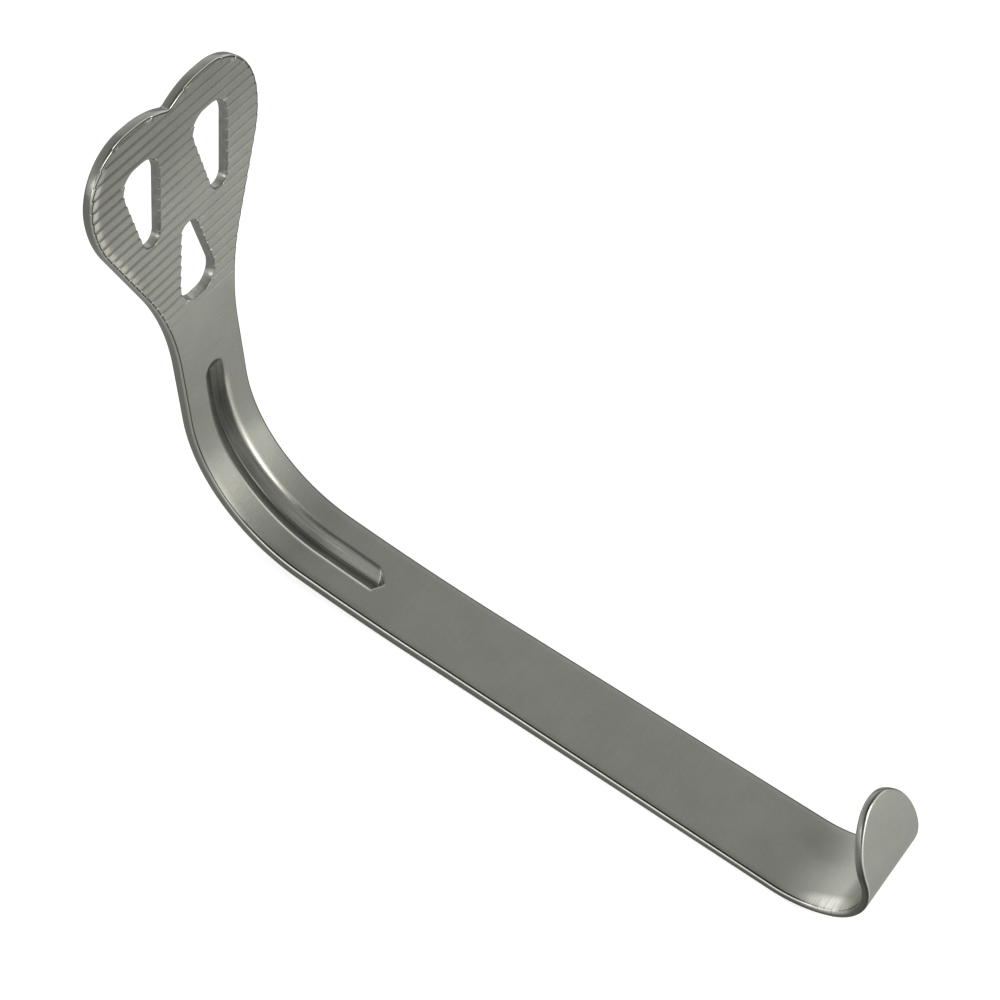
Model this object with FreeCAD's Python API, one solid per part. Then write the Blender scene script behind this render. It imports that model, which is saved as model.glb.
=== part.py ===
# Heart-shaped tongue retractor, bent from one strip of stainless steel.
#
# The sheet runs from the heart-shaped blade, down through the main bend, along the
# handle and up into the hook. +X points along the handle to the hook, +Y across the
# strip and +Z up. The handle lies flat. Sizes are in millimetres, angles in degrees.

import FreeCAD, Part
import math
import os

# Sheet, which thins along the handle
BLADE_SHEET = 1.4             # thickness of the blade and the main bend
HOOK_SHEET = 1.05             # thickness of the hook
EDGE_FLAT = 0.35              # flat left between the two roundings of the hook's edge

# Blade outline, seen square to the blade
NECK_WIDTH = 10.6
NECK_LENGTH = 14.7            # from the main bend to where the flank sets off
HEART_LENGTH = 27.6           # from there to the tops of the two lobes
HEART_WIDTH = 28.2
FLARE_RADIUS = 27.0           # from the neck into the flank
SIDE_RADIUS = 12.3            # from the flank into the widest part
LOBE_RADIUS = 7.4             # outer shoulder of each lobe
LOBE_FLAT = 1.0               # straight top of each lobe
NOTCH_DEPTH = 1.45
NOTCH_RADIUS = 0.8

# Three drop-shaped holes, placed by the drop from the tops of the lobes to their middles
HOLE_WIDTH = 5.8
HOLE_CROWN = 1.1              # straight part of the wide end
HOLE_NARROW_RADIUS = 1.45
UPPER_HOLE_LENGTH = 10.9
UPPER_HOLE_DROP = 10.3
UPPER_HOLE_SPACING = 11.7
LOWER_HOLE_LENGTH = 10.0
LOWER_HOLE_DROP = 21.6

# Ridges across the blade, each one a shallow ramp that ends in a small step
RIDGE_COUNT = 22
RIDGE_PITCH = 1.275
RIDGE_DROP = 0.73             # from the tops of the lobes to the first step
RIDGE_DEPTH = 0.16
RIDGE_SKIM = 0.02             # crests lie this far below the face of the neck
RIDGE_FADE = 3                # ridges over which the depth runs out near the neck

# Main bend, and the slow curve that leads from it into the handle, measured outside
BEND_RADIUS = 19.7
BEND_ANGLE = 72.5
EASE_RADIUS = 255.6
EASE_ANGLE = 4.7

# Handle and hook, with the hook's bends measured outside
HANDLE_LENGTH = 44.6          # straight part
HOOK_WIDTH = 11.5
TAPER_BLEND = 300.0           # radius where the sides start and stop widening
HOOK_LEAD_RADIUS = 13.0
HOOK_LEAD_ANGLE = 34.0
HOOK_RADIUS = 6.85
HOOK_ANGLE = 87.0
TIP_LENGTH = 7.4              # rounded end, past the last bend
TIP_NOSE_RADIUS = 4.1

# Stiffening groove pressed into the inner side of the bend, and its bead outside
GROOVE_WIDTH = 3.3
GROOVE_DEPTH = 0.95
GROOVE_VALLEY = 0.25          # radius along the bottom
GROOVE_LIP = 1.0              # radius along the rims
GROOVE_ON_BLADE = 3.9         # straight run up the blade
GROOVE_RUN_OUT = 9.2          # from the bend to where the groove ends on the slow curve
GROOVE_POINT = 1.4            # length of its closing point
BEAD_WIDTH = 4.0
BEAD_HEIGHT = 0.7
BEAD_CREST = 0.9              # radius along the top of the bead

Vector = FreeCAD.Vector
ACROSS = Vector(0, 1, 0)
UP = Vector(0, 0, 1)
CLEAR = 2.0                   # how far a cutting shape stands out of what it cuts


class SheetPath:
    """Underside of the sheet, seen from the side, as a chain of straights and bends."""

    def __init__(self, point, heading):
        self.point = point
        self.heading = heading
        self.steps = []

    def frame(self):
        """Placement whose X runs on along the sheet and whose Z is the sheet's upper normal."""
        turn = FreeCAD.Rotation(ACROSS, -self.heading)
        return FreeCAD.Placement(self.point, turn)

    def straight(self, length):
        start = self.frame()
        self.point = start.multVec(Vector(length, 0, 0))
        self.steps.append((start, length, None))

    def bend(self, radius, angle):
        start = self.frame()
        self.point = bend_point(start, radius, angle, 0)
        self.heading += angle
        self.steps.append((start, radius, angle))

    def line(self, heights):
        """Edges that follow the path, from one of the heights above it to the next."""
        edges = []
        for i, (start, size, angle) in enumerate(self.steps):
            low, high = heights[i:i + 2]
            first = start.multVec(Vector(0, 0, low))
            if angle is None:
                last = start.multVec(Vector(size, 0, high))
                edges.append(Part.LineSegment(first, last).toShape())
            else:
                middle = bend_point(start, size, angle / 2, (low + high) / 2)
                last = bend_point(start, size, angle, high)
                edges.append(Part.Arc(first, middle, last).toShape())
        return edges

    def sweep(self, section):
        """Solids that a section, drawn in the YZ plane, sweeps along the path."""
        swept = []
        for start, size, angle in self.steps:
            placed = section.copy()
            placed.Placement = start
            if angle is None:
                swept.append(placed.extrude(start.Rotation.multVec(Vector(size, 0, 0))))
            else:
                centre = start.multVec(Vector(0, 0, size))
                swept.append(placed.revolve(centre, ACROSS, -angle))
        return swept


def bend_point(start, radius, angle, height):
    """Point after a bend by angle from the frame start, at a height above the path."""
    turn = math.radians(angle)
    reach = radius - height
    return start.multVec(Vector(reach * math.sin(turn), 0, radius - reach * math.cos(turn)))


def arc(centre, radius, first, last):
    """Arc in the XY plane between two directions, in degrees."""
    points = []
    for angle in (first, (first + last) / 2, last):
        turn = math.radians(angle)
        points.append(centre + Vector(radius * math.cos(turn), radius * math.sin(turn), 0))
    return Part.Arc(*points).toShape()


def chain(pieces):
    """Closed face from edges in order, with straight edges where two of them don't meet."""
    edges = []
    for i, piece in enumerate(pieces):
        edges.append(piece)
        end = piece.valueAt(piece.LastParameter)
        follower = pieces[(i + 1) % len(pieces)]
        start = follower.valueAt(follower.FirstParameter)
        if (start - end).Length > 1e-6:
            edges.append(Part.LineSegment(end, start).toShape())
    return Part.Face(Part.Wire(edges))


def plate(face, thickness, frame):
    """Plate of the given outline, standing on the frame of the sheet's underside."""
    sheet = face.extrude(UP * thickness)
    sheet.Placement = frame.multiply(sheet.Placement)
    return sheet


def rounded_corner(before, corner, after, radius):
    """Arc that rounds the corner between two straight lines."""
    back = (before - corner).normalize()
    ahead = (after - corner).normalize()
    half_turn = (math.pi - back.getAngle(ahead)) / 2
    trim = radius * math.tan(half_turn)
    inward = (back + ahead).normalize()
    middle = corner + inward * (radius / math.cos(half_turn) - radius)
    return Part.Arc(corner + back * trim, middle, corner + ahead * trim).toShape()


def heart_outline():
    """Blade outline in its own frame, with the main bend at X = 0 and the lobes at -X."""
    neck = NECK_WIDTH / 2
    side = HEART_WIDTH / 2
    top = -(NECK_LENGTH + HEART_LENGTH)
    widest = top + LOBE_RADIUS

    # The flank is the line from the end of the neck that touches the side's arc
    corner = Vector(-NECK_LENGTH, neck, 0)
    side_centre = Vector(widest, side - SIDE_RADIUS, 0)
    gap = side_centre - corner
    slope = math.asin(SIDE_RADIUS / gap.Length) - math.atan2(-gap.y, -gap.x)
    ahead = corner + Vector(-math.cos(slope), math.sin(slope), 0)
    flare = rounded_corner(Vector(0, neck, 0), corner, ahead, FLARE_RADIUS)
    flank = arc(side_centre, SIDE_RADIUS, 90 - math.degrees(slope), 90)
    shoulder = arc(Vector(widest, side - LOBE_RADIUS, 0), LOBE_RADIUS, 90, 180)

    # One arc leads from the top of each lobe down to the notch
    peak = side - LOBE_RADIUS - LOBE_FLAT
    brow_radius = (peak ** 2 + NOTCH_DEPTH ** 2) / (2 * NOTCH_DEPTH)
    reach = brow_radius + NOTCH_RADIUS
    rise = math.sqrt(reach ** 2 - peak ** 2)
    turn = math.degrees(math.atan2(peak, rise))
    brow = arc(Vector(top + brow_radius, peak, 0), brow_radius, 180, 180 + turn)
    notch = arc(Vector(top + brow_radius - rise, 0, 0), NOTCH_RADIUS, turn, -turn)

    near = [flare, flank, shoulder, brow]
    far = [reversed_edge(mirrored(edge)) for edge in reversed(near)]
    foot = Part.LineSegment(Vector(0, -neck, 0), Vector(0, neck, 0)).toShape()
    return chain([foot] + near + [notch] + far)


def mirrored(edge):
    return edge.mirror(Vector(0, 0, 0), ACROSS)


def reversed_edge(edge):
    """The same arc, drawn from its other end."""
    first, last = edge.FirstParameter, edge.LastParameter
    points = [edge.valueAt(at) for at in (last, (first + last) / 2, first)]
    return Part.Arc(*points).toShape()


def tip_outline():
    """Rounded end of the hook, from X = 0: two side arcs that run into a nose."""
    half = HOOK_WIDTH / 2
    nose = TIP_LENGTH - TIP_NOSE_RADIUS
    side_radius = (nose ** 2 + half ** 2 - TIP_NOSE_RADIUS ** 2) / (2 * (half - TIP_NOSE_RADIUS))
    meet = math.degrees(math.atan2(side_radius - half, nose))
    near = arc(Vector(0, half - side_radius, 0), side_radius, 90, meet)
    front = arc(Vector(nose, 0, 0), TIP_NOSE_RADIUS, meet, -meet)
    return chain([near, front, reversed_edge(mirrored(near))])


def strip(path, taper_start, taper_end):
    """Bend, handle and hook. The handle widens and thins on its way to the hook."""
    upper = path.line([BLADE_SHEET] * 3 + [HOOK_SHEET] * 3)
    lower = path.line([0] * 6)
    closing = []
    for vertex in (0, -1):
        ends = [edges[vertex].Vertexes[vertex].Point for edges in (upper, lower)]
        closing.append(Part.LineSegment(*ends).toShape())
    section = Part.Face(Part.Wire(Part.__sortEdges__(upper + lower + closing)))
    slab = section.extrude(ACROSS * (2 * HOOK_WIDTH))
    slab.translate(ACROSS * -HOOK_WIDTH)

    box = slab.BoundBox
    neck = NECK_WIDTH / 2
    hook = HOOK_WIDTH / 2
    points = [Vector(box.XMin - CLEAR, neck, 0), Vector(taper_start, neck, 0),
              Vector(taper_end, hook, 0), Vector(box.XMax + CLEAR, hook, 0)]
    near = [rounded_corner(*points[i:i + 3], TAPER_BLEND) for i in (0, 1)]
    far = [reversed_edge(mirrored(edge)) for edge in reversed(near)]
    near_end = Part.LineSegment(points[3], Vector(points[3].x, -hook, 0)).toShape()
    far_end = Part.LineSegment(Vector(points[0].x, -neck, 0), points[0]).toShape()
    plan = chain(near + [near_end] + far + [far_end]).extrude(UP * (box.ZLength + 2 * CLEAR))
    plan.translate(UP * (box.ZMin - CLEAR))
    return slab.common(plan)


def sharp_edges(body):
    """Edges where two faces meet at a corner, and not where one runs smoothly on."""
    found = []
    for edge in body.Edges:
        faces = body.ancestorsOfType(edge, Part.Face)
        if len(faces) != 2:
            continue
        point = edge.valueAt((edge.FirstParameter + edge.LastParameter) / 2)
        normals = [face.normalAt(*face.Surface.parameter(point)) for face in faces]
        if normals[0].getAngle(normals[1]) > math.radians(45):
            found.append(edge)
    return found


def pressed_section(width, depth, lip, bottom, level, head):
    """Section of a groove or bead in the YZ plane: a V with rounded rims and bottom.

    The V hangs down from level, and a block of height head stands above it."""
    half = width / 2
    slope = math.atan2(depth, half)
    flare = half + lip * math.tan(slope / 2)
    rim = Vector(0, half, level)
    valley = Vector(0, 0, level - depth)
    edge = Vector(0, flare + CLEAR, level)
    lip_arc = rounded_corner(edge, rim, valley, lip)
    valley_arc = rounded_corner(rim, valley, Vector(0, -half, level), bottom)
    other_lip = reversed_edge(mirrored(lip_arc))
    roof = Part.LineSegment(Vector(0, -flare, level + head), Vector(0, flare, level + head)).toShape()
    return chain([lip_arc, valley_arc, other_lip, roof])


def pressed_shape(section, path, point_end):
    """Section swept along the path, with a turned start and an end that runs to a point."""
    frames = [path.steps[0][0], path.frame()]
    pieces = path.sweep(section)
    half_plane = Part.makeBox(2 * HEART_WIDTH, 2 * HEART_WIDTH, 2 * HEART_WIDTH,
                              Vector(-HEART_WIDTH, 0, -HEART_WIDTH))
    turned = section.common(half_plane).revolve(Vector(0, 0, 0), UP, 360)
    turned.Placement = frames[0]
    closing = section.OuterWire.copy()
    closing.Placement = frames[1]
    point = Part.Vertex(point_end)
    pieces.append(turned)
    pieces.append(Part.makeLoft([closing, point], True, True))
    return pieces[0].fuse(pieces[1:])


def groove_path(blade_frame, run_out):
    """Underside of the sheet below the groove, up to run_out past the main bend."""
    start = blade_frame.multVec(Vector(-GROOVE_ON_BLADE, 0, 0))
    path = SheetPath(start, -(BEND_ANGLE + EASE_ANGLE))
    path.straight(GROOVE_ON_BLADE)
    path.bend(BEND_RADIUS, BEND_ANGLE)
    path.bend(EASE_RADIUS, math.degrees(run_out / EASE_RADIUS))
    return path


def groove_cut(blade_frame):
    section = pressed_section(GROOVE_WIDTH, GROOVE_DEPTH, GROOVE_LIP, GROOVE_VALLEY,
                              BLADE_SHEET, CLEAR)
    path = groove_path(blade_frame, GROOVE_RUN_OUT - GROOVE_POINT)
    tip = path.frame().multVec(Vector(GROOVE_POINT, 0, BLADE_SHEET + GROOVE_LIP / 2))
    return pressed_shape(section, path, tip)


def bead(blade_frame):
    embed = BLADE_SHEET / 4
    section = pressed_section(BEAD_WIDTH, BEAD_HEIGHT, GROOVE_LIP, BEAD_CREST, 0, embed)
    path = groove_path(blade_frame, GROOVE_POINT)
    tip = path.frame().multVec(Vector(GROOVE_RUN_OUT, 0, embed))
    return pressed_shape(section, path, tip)


def belt(circles):
    """Face inside a tight belt round circles (x, y, radius), given anticlockwise."""
    normals = []
    for i, (x, y, radius) in enumerate(circles):
        next_x, next_y, next_radius = circles[(i + 1) % len(circles)]
        heading = math.atan2(next_y - y, next_x - x)
        gap = math.hypot(next_x - x, next_y - y)
        normals.append(math.degrees(heading - math.acos((radius - next_radius) / gap)))
    arcs = []
    for i, (x, y, radius) in enumerate(circles):
        turn = (normals[i] - normals[i - 1]) % 360
        arcs.append(arc(Vector(x, y, 0), radius, normals[i - 1], normals[i - 1] + turn))
    return chain(arcs)


def drop_hole(length, drop, offset, wide_end):
    """Cutting shape for a hole. Its wide end looks along X to the side of wide_end."""
    corner = (HOLE_WIDTH - HOLE_CROWN) / 2
    wide = wide_end * (length / 2 - corner)
    narrow = -wide_end * (length / 2 - HOLE_NARROW_RADIUS)
    crown = wide_end * HOLE_CROWN / 2
    hole = belt([(wide, -crown, corner), (wide, crown, corner), (narrow, 0, HOLE_NARROW_RADIUS)])
    cut = hole.extrude(UP * (BLADE_SHEET + 2 * CLEAR))
    middle = drop - NECK_LENGTH - HEART_LENGTH
    cut.translate(Vector(middle, offset, -CLEAR))
    return cut


def blade_holes():
    """Two upper holes with their wide ends to the lobes, and a lower one the other way round."""
    side = UPPER_HOLE_SPACING / 2
    return [drop_hole(UPPER_HOLE_LENGTH, UPPER_HOLE_DROP, -side, -1),
            drop_hole(UPPER_HOLE_LENGTH, UPPER_HOLE_DROP, side, -1),
            drop_hole(LOWER_HOLE_LENGTH, LOWER_HOLE_DROP, 0, 1)]


def ridge_cut():
    """Saw-toothed cutting shape: every ridge is a ramp down to a step that faces the lobes."""
    crest = BLADE_SHEET - RIDGE_SKIM
    first = RIDGE_DROP - NECK_LENGTH - HEART_LENGTH
    top = BLADE_SHEET + CLEAR
    points = [Vector(first - RIDGE_PITCH, 0, top)]
    for i in range(RIDGE_COUNT):
        step = first + i * RIDGE_PITCH
        depth = RIDGE_DEPTH * min(1, (RIDGE_COUNT - i) / RIDGE_FADE)
        points.append(Vector(step - RIDGE_PITCH, 0, crest))
        points.append(Vector(step, 0, crest - depth))
    points.append(Vector(step, 0, top))
    saw = Part.Face(Part.makePolygon(points + points[:1])).extrude(ACROSS * (2 * HEART_WIDTH))
    saw.translate(ACROSS * -HEART_WIDTH)
    return saw


def on_floor(body):
    """The body with the middle of the underside of its box at the origin."""
    box = body.optimalBoundingBox(False, False)
    body.translate(Vector(-(box.XMin + box.XMax) / 2, -(box.YMin + box.YMax) / 2, -box.ZMin))
    return body


def build_retractor():
    path = SheetPath(Vector(0, 0, 0), -(BEND_ANGLE + EASE_ANGLE))
    blade_frame = path.frame()
    path.bend(BEND_RADIUS, BEND_ANGLE)
    path.bend(EASE_RADIUS, EASE_ANGLE)
    taper_start = path.point.x
    path.straight(HANDLE_LENGTH)
    taper_end = path.point.x
    path.bend(HOOK_LEAD_RADIUS, HOOK_LEAD_ANGLE)
    path.bend(HOOK_RADIUS, HOOK_ANGLE)

    blade = plate(heart_outline(), BLADE_SHEET, blade_frame)
    tip = plate(tip_outline(), HOOK_SHEET, path.frame())
    blank = strip(path, taper_start, taper_end).fuse([blade, tip]).removeSplitter()
    rounded = blank.makeFillet((HOOK_SHEET - EDGE_FLAT) / 2, sharp_edges(blank))
    pressed = rounded.fuse(bead(blade_frame)).cut(groove_cut(blade_frame))
    cuts = [ridge_cut()] + blade_holes()
    for cut in cuts:
        cut.Placement = blade_frame.multiply(cut.Placement)
    return on_floor(pressed.cut(cuts))


os.makedirs("parts", exist_ok=True)
retractor = build_retractor()
retractor.exportStep("parts/retractor.step")
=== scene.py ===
# Heart-shaped tongue retractor in satin steel, on a plain white floor.

import math
from types import SimpleNamespace

import bmesh
import bpy
import numpy as np
from mathutils import Matrix, Vector, geometry


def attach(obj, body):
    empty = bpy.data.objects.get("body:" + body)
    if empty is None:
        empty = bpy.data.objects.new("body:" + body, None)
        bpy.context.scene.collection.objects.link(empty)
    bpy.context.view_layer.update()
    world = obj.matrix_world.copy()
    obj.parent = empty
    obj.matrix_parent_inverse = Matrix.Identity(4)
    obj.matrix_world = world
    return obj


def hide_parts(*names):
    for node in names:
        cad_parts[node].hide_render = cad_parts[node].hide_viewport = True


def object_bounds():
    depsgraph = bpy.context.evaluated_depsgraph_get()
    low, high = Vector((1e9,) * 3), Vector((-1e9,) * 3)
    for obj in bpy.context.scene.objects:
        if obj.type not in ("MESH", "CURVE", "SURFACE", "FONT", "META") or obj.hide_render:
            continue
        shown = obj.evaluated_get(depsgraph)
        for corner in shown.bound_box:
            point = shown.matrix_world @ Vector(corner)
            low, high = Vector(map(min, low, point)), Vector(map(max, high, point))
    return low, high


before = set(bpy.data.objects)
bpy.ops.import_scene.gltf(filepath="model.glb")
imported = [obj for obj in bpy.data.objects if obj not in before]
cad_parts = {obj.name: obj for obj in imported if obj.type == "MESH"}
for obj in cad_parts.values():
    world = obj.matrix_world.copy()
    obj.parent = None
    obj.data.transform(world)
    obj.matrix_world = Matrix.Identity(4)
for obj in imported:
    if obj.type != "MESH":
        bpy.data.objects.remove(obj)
cad_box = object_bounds()

# The camera's place and turn were solved from the photograph
CAMERA_AT = (0.07862, -0.17658, 0.27255)
CAMERA_RIGHT = (0.821158, 0.556565, 0.126238)
CAMERA_DOWN = (0.506684, -0.609195, -0.610043)
CAMERA_AHEAD = (-0.262625, 0.564904, -0.782247)
FOCAL = 2.9                   # in image widths
SENSOR = 36.0

# Sizes of the sheet, in millimetres and degrees. They are the part's own, with four small
# differences: the ridges are 0.005 shallower, the far side of the groove's end is rounded off,
# the holes have rounded rims, and the handle's taper starts without a blend
MM = 0.001
BLADE_SHEET, HOOK_SHEET = 1.4, 1.05
NECK_WIDTH, NECK_LENGTH = 10.6, 14.7
HEART_LENGTH, HEART_WIDTH = 27.6, 28.2
FLARE_RADIUS, SIDE_RADIUS, LOBE_RADIUS, LOBE_FLAT = 27.0, 12.3, 7.4, 1.0
NOTCH_DEPTH, NOTCH_RADIUS = 1.45, 0.8
HOLE_WIDTH, HOLE_CROWN, HOLE_NARROW_RADIUS = 5.8, 1.1, 1.45
UPPER_HOLE_LENGTH, UPPER_HOLE_DROP, UPPER_HOLE_SPACING = 10.9, 10.3, 11.7
LOWER_HOLE_LENGTH, LOWER_HOLE_DROP = 10.0, 21.6
RIDGE_COUNT, RIDGE_PITCH, RIDGE_DROP = 22, 1.275, 0.73
RIDGE_DEPTH, RIDGE_SKIM, RIDGE_FADE = 0.155, 0.02, 3
BEND_RADIUS, BEND_ANGLE = 19.7, 72.5
EASE_RADIUS, EASE_ANGLE = 255.6, 4.7
HANDLE_LENGTH, HOOK_WIDTH = 44.6, 11.5
HOOK_LEAD_RADIUS, HOOK_LEAD_ANGLE = 13.0, 34.0
HOOK_RADIUS, HOOK_ANGLE = 6.85, 87.0
TIP_LENGTH, TIP_NOSE_RADIUS = 7.4, 4.1
GROOVE_WIDTH, GROOVE_DEPTH, GROOVE_LIP, GROOVE_VALLEY = 3.3, 0.95, 1.0, 0.25
GROOVE_ON_BLADE, GROOVE_RUN_OUT, GROOVE_POINT = 3.9, 9.2, 1.4
GROOVE_END_CURVE = 0.35       # rounds off the far side of its end: shift along S per Y squared
BEAD_WIDTH, BEAD_HEIGHT, BEAD_CREST = 4.0, 0.7, 0.9
RIM = 0.35                    # rounding along the outline
HOLE_RIM = 0.12               # rounding round the holes
STEP_HALF = 0.015             # half the length over which a ridge steps down
CREASE_REACH = 0.09           # half the width of the line at a ridge's step
BRINK = 1.0                   # width of the face that is marked beside the outline's rim
BRINK_BELOW = -2.0            # value of Y below which it is marked

# How closely the mesh follows the forms
RIM_STEPS, HOLE_RIM_STEPS = 6, 3                # faces across the rounding of one edge
NOTCH_ARC, BLADE_ARC, TIP_ARC, HOLE_ARC = 0.12, 0.35, 0.3, 0.25     # steps along arcs
SHORTEST, LONGEST = 0.02, 0.6                   # sides of the outline on the blade
FILL_MARGIN = 0.12                              # from an inner point to the start of a rim
COARSE_COLUMNS, GROOVE_COLUMNS, HANDLE_COLUMNS = 57, 41, 13
GROOVE_HALF, BESIDE_GROOVE, PAST_GROOVE = 2.7, (3.3, 4.1), 4.9
BEFORE_GROOVE, AFTER_GROOVE, GROOVE_CLOSES = 0.6, 0.1, 3.2
NEARLY_SAME, ON_ROW, WELD = 1e-4, 1e-5, 1e-7
BATCHES = 20                                    # to keep the tables of distances small
# Marks that the material reads, from 0 to 1: place across a rim from the front face to the back
# one, wall of a hole, depth in the groove, nearness to a ridge's step and to the outline's rim
MARKS = ("edge", "hole", "pressed", "crease", "brink")

# The stage
FLOOR_HALF = 3.0
FLOOR_GREY, FLOOR_ROUGHNESS = 0.72, 0.9
FLOOR_LIFT = 0.7              # light that the floor gives off for the camera alone
WHITE, MIDDLE = (1, 1, 1), (0, 0, 0.01)
# Name, direction from the aim, distance, size, power, aim and colour of each soft box
LIGHTS = (("side", (0.85, 0.15, 0.42), 0.7, (0.35, 0.25), 0.43, MIDDLE, (1.0, 0.95, 0.83)),
          ("back", (-0.65, 0.55, 0.5), 0.7, (0.25, 0.2), 0.02, MIDDLE, WHITE),
          ("front", (-0.2, -0.85, 0.42), 0.7, (0.7, 0.2), 0.7, MIDDLE, WHITE),
          ("floor_light", (0.4, 0.0, 1.0), 0.15, (0.08, 0.08), 0.06, (0.085, 0.02, 0), WHITE))
# Brightness of the surroundings by the height of the direction, from level to straight up
SURROUNDINGS = ((0.0, 0.9), (0.25, 1.0), (0.45, 0.65), (0.7, 0.50), (0.83, 0.42), (0.94, 0.12),
                (1.0, 0.08))

# The flat strip runs along S, with the main bend at S = 0 and the blade at -S
LOBES_AT = -(NECK_LENGTH + HEART_LENGTH)
BEND_END = BEND_RADIUS * math.radians(BEND_ANGLE)
EASE_END = BEND_END + EASE_RADIUS * math.radians(EASE_ANGLE)
HANDLE_END = EASE_END + HANDLE_LENGTH
LEAD_END = HANDLE_END + HOOK_LEAD_RADIUS * math.radians(HOOK_LEAD_ANGLE)
HOOK_END = LEAD_END + HOOK_RADIUS * math.radians(HOOK_ANGLE)
TIP_END = HOOK_END + TIP_LENGTH
GROOVE_START = -GROOVE_ON_BLADE - GROOVE_WIDTH / 2
GROOVE_STOP = BEND_END + GROOVE_RUN_OUT
RIDGES_END = LOBES_AT + RIDGE_DROP + RIDGE_COUNT * RIDGE_PITCH
# Where each stretch starts, with its radius, and with the distance between its rows of points
STEPS = [(0, BEND_RADIUS), (BEND_END, EASE_RADIUS), (EASE_END, None),
         (HANDLE_END, HOOK_LEAD_RADIUS), (LEAD_END, HOOK_RADIUS), (HOOK_END, None)]
ROW_STEPS = [(RIDGES_END, 0.6), (GROOVE_START - BEFORE_GROOVE, 0.16), (-GROOVE_ON_BLADE, 0.4),
             (0, 0.4), (BEND_END, 0.5), (GROOVE_STOP - GROOVE_CLOSES, 0.13), (GROOVE_STOP, 1.2),
             (EASE_END, 1.5), (HANDLE_END, 0.5), (LEAD_END, 0.28), (HOOK_END, 0.5),
             (TIP_END, None)]


def bend_strip(s, height):
    """X and Z of points of the flat strip once it is bent, before it is moved to its place."""
    x, z = np.zeros_like(s), np.zeros_like(s)
    point = np.zeros(2)
    heading = -math.radians(BEND_ANGLE + EASE_ANGLE)
    starts = [start for start, _ in STEPS] + [TIP_END]
    for i, (start, radius) in enumerate([(-math.inf, None)] + STEPS):
        along = np.array([math.cos(heading), math.sin(heading)])
        normal = np.array([-math.sin(heading), math.cos(heading)])
        base = max(start, LOBES_AT) if i else 0.0
        end = starts[i]
        here = (s >= start) & ((s < end) | (i == len(STEPS)))
        run = s[here] - base
        if radius is None:
            x[here] = point[0] + run * along[0] + height[here] * normal[0]
            z[here] = point[1] + run * along[1] + height[here] * normal[1]
            reach, lift = (end - base, 0.0) if i else (0.0, 0.0)
        else:
            turn = run / radius
            inner = radius - height[here]
            ahead, up = inner * np.sin(turn), radius - inner * np.cos(turn)
            x[here] = point[0] + ahead * along[0] + up * normal[0]
            z[here] = point[1] + ahead * along[1] + up * normal[1]
            whole = (end - base) / radius
            reach, lift = radius * math.sin(whole), radius * (1 - math.cos(whole))
            heading += whole
        point = point + reach * along + lift * normal
    return x, z


def sheet_thickness(s):
    along_handle = np.clip((s - EASE_END) / HANDLE_LENGTH, 0, 1)
    return BLADE_SHEET + (HOOK_SHEET - BLADE_SHEET) * along_handle


def pressed_profile(across, width, depth, lip, bottom):
    """Depth of a V with rounded rims and bottom, at a distance from its middle."""
    half = width / 2
    slope = math.atan2(depth, half)
    trim = lip * math.tan(slope / 2)
    outer, inner = half + trim, half - trim * math.cos(slope)
    foot = bottom * math.sin(slope)
    centre = depth - bottom / math.cos(slope)
    flank = depth - across * depth / half
    on_lip = lip - np.sqrt(np.maximum(lip ** 2 - (outer - across) ** 2, 0))
    on_bottom = centre + np.sqrt(np.maximum(bottom ** 2 - across ** 2, 0))
    found = np.where(across < foot, on_bottom, flank)
    found = np.where(across > inner, on_lip, found)
    return np.where(across > outer, 0.0, found)


def pressed_depth(s, y, width, depth, lip, bottom, closing_from, closing_to, above):
    """Depth of the groove or bead: turned at its blade end, run to a point at the other."""
    before = np.minimum(s + GROOVE_ON_BLADE, 0)
    across = np.hypot(y, before)
    almost_closed = 0.999
    share = np.clip((s - closing_from) / (closing_to - closing_from), 0, almost_closed)
    body = pressed_profile(across / (1 - share), width, depth, lip, bottom)
    return np.maximum(body * (1 - share) - above * share, 0)


def groove_depth(s, y):
    shifted = s + GROOVE_END_CURVE * np.maximum(y, 0) ** 2 * (s > BEND_END)
    return pressed_depth(shifted, y, GROOVE_WIDTH, GROOVE_DEPTH, GROOVE_LIP, GROOVE_VALLEY,
                         GROOVE_STOP - GROOVE_POINT, GROOVE_STOP, GROOVE_LIP / 2)


def bead_height(s, y):
    return pressed_depth(s, y, BEAD_WIDTH, BEAD_HEIGHT, GROOVE_LIP, BEAD_CREST,
                         BEND_END + GROOVE_POINT, GROOVE_STOP, BLADE_SHEET / 4)


def ridge_depth(s):
    """How far the saw-toothed face lies below the plain one."""
    at = (s - (LOBES_AT + RIDGE_DROP - RIDGE_PITCH)) / RIDGE_PITCH
    ridge = np.floor(at)
    deepest = RIDGE_DEPTH * np.minimum(1, (RIDGE_COUNT - ridge) / RIDGE_FADE)
    return np.where((ridge >= 0) & (ridge < RIDGE_COUNT), RIDGE_SKIM + deepest * (at - ridge), 0.0)


def ridge_crease(s):
    """1 at the steps of the ridges and 0 a little way off them."""
    at = (s - (LOBES_AT + RIDGE_DROP)) / RIDGE_PITCH
    nearest = np.clip(np.round(at), 0, RIDGE_COUNT - 1)
    away = np.abs(at - nearest) * RIDGE_PITCH
    return np.clip(1 - away / CREASE_REACH, 0, 1)


def arc_points(centre, radius, first, last, step, side=1):
    """Points of an arc with their outward normals. A side of -1 is a hollow arc."""
    count = max(2, int(math.ceil(radius * abs(math.radians(last - first)) / step)) + 1)
    turn = np.radians(np.linspace(first, last, count))
    ray = np.stack([np.cos(turn), np.sin(turn)], 1)
    return np.hstack([np.array(centre) + radius * ray, side * ray])


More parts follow.
